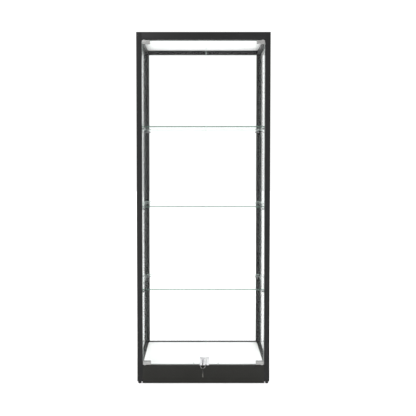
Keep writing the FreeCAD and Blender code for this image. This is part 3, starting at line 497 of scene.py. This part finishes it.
# runs a tree on places, each a point and the way it faces, and keeps the plain mesh
def grown(name, tree, places, numbers, finish):
    seed = bpy.data.meshes.new(name)
    seed.from_pydata([place for place, _ in places], [], [])
    facing = seed.attributes.new("facing", "FLOAT_VECTOR", "POINT")
    for index, (_, way) in enumerate(places):
        facing.data[index].vector = way
    piece = linked(name, seed)
    pattern = piece.modifiers.new("pattern", "NODES")
    pattern.node_group = tree
    given = dict(numbers, Finish=finishes[finish])
    for socket in tree.interface.items_tree:
        if socket.in_out == "INPUT" and socket.name in given:
            pattern[socket.identifier] = given[socket.name]
    baked(piece)
    shape = bmesh.new()
    shape.from_mesh(piece.data)
    bmesh.ops.remove_doubles(shape, verts=shape.verts, dist=hardware["weld"])
    bmesh.ops.recalc_face_normals(shape, faces=shape.faces)
    shape.to_mesh(piece.data)
    shape.free()
    piece.data.shade_smooth()
    piece.data.set_sharp_from_angle(angle=hardware["sharpAbove"])
    return piece


# a round head with a chamfered rim and a hexagon socket, facing up from its seat at 0
def screwTree():
    numbers = {"HeadRadius": 0.0025, "HeadTall": 0.003, "Chamfer": 0.0004, "Socket": 0.0013,
               "ShankRadius": 0.0, "ShankLong": 0.0}
    tree, given = newTree("socketScrew", numbers)
    straight = sums(tree, "SUBTRACT", given["HeadTall"], given["Chamfer"])
    wall = grow(tree, "GeometryNodeMeshCone", {"Radius Top": given["HeadRadius"], "Depth": straight,
                "Radius Bottom": given["HeadRadius"]}, values={"Vertices": 28})
    rimTop = sums(tree, "SUBTRACT", given["HeadRadius"], given["Chamfer"])
    rim = grow(tree, "GeometryNodeMeshCone", {"Radius Top": rimTop, "Depth": given["Chamfer"],
               "Radius Bottom": given["HeadRadius"]}, values={"Vertices": 28})
    head = together(tree, [wall.outputs["Mesh"], lifted(tree, rim.outputs["Mesh"], straight)])
    deep = sums(tree, "MULTIPLY", given["HeadTall"], 1.2)
    hexagon = grow(tree, "GeometryNodeMeshCylinder", {"Radius": given["Socket"], "Depth": deep},
                   values={"Vertices": 6})
    hollow = grow(tree, "GeometryNodeMeshBoolean", {}, {"operation": "DIFFERENCE", "solver": "EXACT"})
    tree.links.new(head, hollow.inputs[0])
    tree.links.new(lifted(tree, hexagon.outputs["Mesh"], given["HeadTall"]), hollow.inputs[1])
    shank = grow(tree, "GeometryNodeMeshCylinder",
                 {"Radius": given["ShankRadius"], "Depth": given["ShankLong"]}, values={"Vertices": 16})
    below = sums(tree, "MULTIPLY", given["ShankLong"], -0.5)
    planted(tree, given, together(tree, [hollow.outputs["Mesh"], lifted(tree, shank.outputs["Mesh"], below)]))
    return tree


# a flat arm with rounded corners, standing on 0 and centred on its place
def pegTree():
    numbers = {"Long": 0.025, "Wide": 0.02, "Tall": 0.0075, "Corner": 0.004}
    tree, given = newTree("shelfPeg", numbers)
    plan = grow(tree, "GeometryNodeCurvePrimitiveQuadrilateral",
                {"Width": given["Long"], "Height": given["Wide"]})
    smooth = grow(tree, "GeometryNodeFilletCurve",
                  {"Curve": plan.outputs["Curve"], "Radius": given["Corner"]},
                  {"mode": "POLY"}, {"Count": 6, "Limit Radius": True})
    flat = grow(tree, "GeometryNodeFillCurve", {"Curve": smooth.outputs["Curve"]}, {"mode": "NGONS"})
    raised = grow(tree, "GeometryNodeExtrudeMesh",
                  {"Mesh": flat.outputs["Mesh"], "Offset Scale": given["Tall"]}, values={"Individual": False})
    planted(tree, given, together(tree, [raised.outputs["Mesh"], flat.outputs["Mesh"]]))
    return tree


# a suction cup: a narrow stem that flares to a thin lip, standing on 0
def cupTree():
    numbers = {"Radius": 0.006, "Tall": 0.00525, "Stem": 0.0035}
    tree, given = newTree("shelfCup", numbers)
    half = sums(tree, "MULTIPLY", given["Tall"], 0.5)
    stem = grow(tree, "GeometryNodeMeshCone", {"Radius Top": given["Stem"], "Radius Bottom": given["Radius"],
                "Depth": half}, values={"Vertices": 24})
    lip = grow(tree, "GeometryNodeMeshCone", {"Radius Top": given["Radius"], "Radius Bottom": given["Stem"],
               "Depth": half}, values={"Vertices": 24})
    planted(tree, given, together(tree, [stem.outputs["Mesh"], lifted(tree, lip.outputs["Mesh"], half)]))
    return tree


# two turns of wire side by side, which pass over to each other
def ringTree():
    numbers = {"Radius": 0.0139, "Wire": 0.00055, "Pitch": 0.0011}
    tree, given = newTree("splitRing", numbers)
    coil = grow(tree, "GeometryNodeCurveSpiral",
                {"Start Radius": given["Radius"], "End Radius": given["Radius"], "Height": given["Pitch"]},
                values={"Resolution": 72, "Rotations": 1.9})
    wire = grow(tree, "GeometryNodeCurvePrimitiveCircle", {"Radius": given["Wire"]},
                values={"Resolution": 12})
    body = grow(tree, "GeometryNodeCurveToMesh", {"Curve": coil.outputs["Curve"],
                "Profile Curve": wire.outputs["Curve"]}, values={"Fill Caps": True})
    centre = sums(tree, "MULTIPLY", given["Pitch"], -0.5)
    planted(tree, given, lifted(tree, body.outputs["Mesh"], centre))
    return tree


# a ribbed grip on a chamfered sole, with a threaded stud, standing on 0
def footTree():
    numbers = {"Radius": 0.0095, "RibDeep": 0.0005, "Tall": 0.0137, "Sole": 0.002, "Ribs": 30,
               "Stud": 0.003, "StudTop": 0.040, "Thread": 0.0004, "Turns": 22.0}
    tree, given = newTree("levellingFoot", numbers)
    inner = sums(tree, "SUBTRACT", given["Radius"], given["RibDeep"])
    star = grow(tree, "GeometryNodeCurveStar", {"Points": given["Ribs"], "Inner Radius": inner,
                "Outer Radius": given["Radius"]})
    fill = grow(tree, "GeometryNodeFillCurve", {"Curve": star.outputs["Curve"]}, {"mode": "NGONS"})
    gripTall = sums(tree, "SUBTRACT", given["Tall"], sums(tree, "MULTIPLY", given["Sole"], 2.0))
    grip = grow(tree, "GeometryNodeExtrudeMesh", {"Mesh": fill.outputs["Mesh"], "Offset Scale": gripTall},
                values={"Individual": False})
    slim = sums(tree, "MULTIPLY", given["Radius"], 0.86)
    sole = grow(tree, "GeometryNodeMeshCone", {"Radius Top": inner, "Radius Bottom": slim,
                "Depth": given["Sole"]}, values={"Vertices": 48})
    crown = grow(tree, "GeometryNodeMeshCone", {"Radius Top": slim, "Radius Bottom": inner,
                 "Depth": given["Sole"]}, values={"Vertices": 48})
    crownAt = sums(tree, "SUBTRACT", given["Tall"], given["Sole"])
    core = sums(tree, "SUBTRACT", given["Stud"], given["Thread"])
    studLong = sums(tree, "SUBTRACT", given["StudTop"], given["Tall"])
    stud = grow(tree, "GeometryNodeMeshCone", {"Radius Top": core, "Radius Bottom": core, "Depth": studLong},
                values={"Vertices": 20})
    threadLong = sums(tree, "SUBTRACT", studLong, sums(tree, "MULTIPLY", given["Thread"], 3.0))
    helix = grow(tree, "GeometryNodeCurveSpiral", {"Start Radius": core, "End Radius": core,
                 "Height": threadLong, "Rotations": given["Turns"]}, values={"Resolution": 16})
    ridge = grow(tree, "GeometryNodeCurvePrimitiveCircle", {"Radius": given["Thread"]},
                 values={"Resolution": 4})
    thread = grow(tree, "GeometryNodeCurveToMesh", {"Curve": helix.outputs["Curve"],
                  "Profile Curve": ridge.outputs["Curve"]}, values={"Fill Caps": True})
    threadAt = sums(tree, "ADD", given["Tall"], given["Thread"])
    shapes = [
        lifted(tree, together(tree, [grip.outputs["Mesh"], fill.outputs["Mesh"]]), given["Sole"]),
        sole.outputs["Mesh"], lifted(tree, crown.outputs["Mesh"], crownAt),
        lifted(tree, stud.outputs["Mesh"], given["Tall"]), lifted(tree, thread.outputs["Mesh"], threadAt),
    ]
    planted(tree, given, together(tree, shapes))
    return tree


up, back = Vector((0, 0, 1)), Vector((0, 1, 0))
screws = screwTree()
hingeScrew = {"HeadRadius": 2.45 * mm, "HeadTall": 2.9 * mm, "Chamfer": 0.3 * mm, "Socket": 1.4 * mm,
              "ShankRadius": 1.2 * mm, "ShankLong": 0.1 * mm}
for side in ("left", "right"):
    node = side + "_hinge_screws"
    places = []
    for low, high in solidsOf(node):
        places.append((Vector(((low.x + high.x) / 2, low.y, (low.z + high.z) / 2)), back))
    settle(grown(node + "_made", screws, places, hingeScrew, "platedSteel"), node)

baseScrew = {"HeadRadius": 3.8 * mm, "HeadTall": 2.2 * mm, "Chamfer": 0.9 * mm, "Socket": 1.7 * mm,
             "ShankRadius": 1.95 * mm, "ShankLong": 11.9 * mm}


# where a screw's head sits and the way it faces, from the solid's long axis and the middle of the case
def screwPlace(low, high):
    size = high - low
    centre = (low + high) / 2
    along = max(range(3), key=lambda axis: size[axis])
    place, way = centre.copy(), Vector((0, 0, 0))
    outward = 1 if centre[along] > 0 else -1
    if along == 2:
        place.z, way.z = low.z + baseScrew["HeadTall"], -1
    else:
        inner = low[along] if outward > 0 else high[along]
        place[along] = inner + outward * baseScrew["HeadTall"]
        way[along] = -outward
    return place, way


places = [screwPlace(low, high) for low, high in solidsOf("base_screws")]
settle(grown("base_screws_made", screws, places, baseScrew, "platedSteel"), "base_screws")

pegs = {"Corner": 4 * mm, "Tall": 7.5 * mm, "Long": 25 * mm, "Wide": 20 * mm}
places = []
for low, high in solidsOf("shelf_pegs"):
    inward = low.y if high.y > 0 else high.y
    armMiddle = inward + math.copysign(pegs["Wide"] / 2, high.y)
    places.append((Vector(((low.x + high.x) / 2, armMiddle, low.z)), up))
settle(grown("shelf_pegs_made", pegTree(), places, pegs, "pegSteel"), "shelf_pegs")

cups = {"Radius": 6 * mm, "Tall": 5.25 * mm, "Stem": 3.6 * mm}
places = []
for low, high in solidsOf("shelf_cups"):
    places.append((Vector(((low.x + high.x) / 2, (low.y + high.y) / 2, low.z)), up))
settle(grown("shelf_cups_made", cupTree(), places, cups, "clearSilicone"), "shelf_cups")

ring = {"Radius": 13.9 * mm, "Wire": 0.55 * mm, "Pitch": 1.1 * mm}
low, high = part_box("key_ring")
settle(grown("key_ring_made", ringTree(), [((low + high) / 2, back)], ring, "platedSteel"), "key_ring")

foot = {"Ribs": 30, "Turns": 22.0}
feet = footTree()
for corner in ("front_left", "front_right", "rear_left", "rear_right"):
    node = "foot_" + corner
    low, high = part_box(node)
    place = Vector(((low.x + high.x) / 2, (low.y + high.y) / 2, low.z))
    settle(grown(node + "_made", feet, [(place, up)], foot, "blackMoulding"), node)
print("hardware grown")
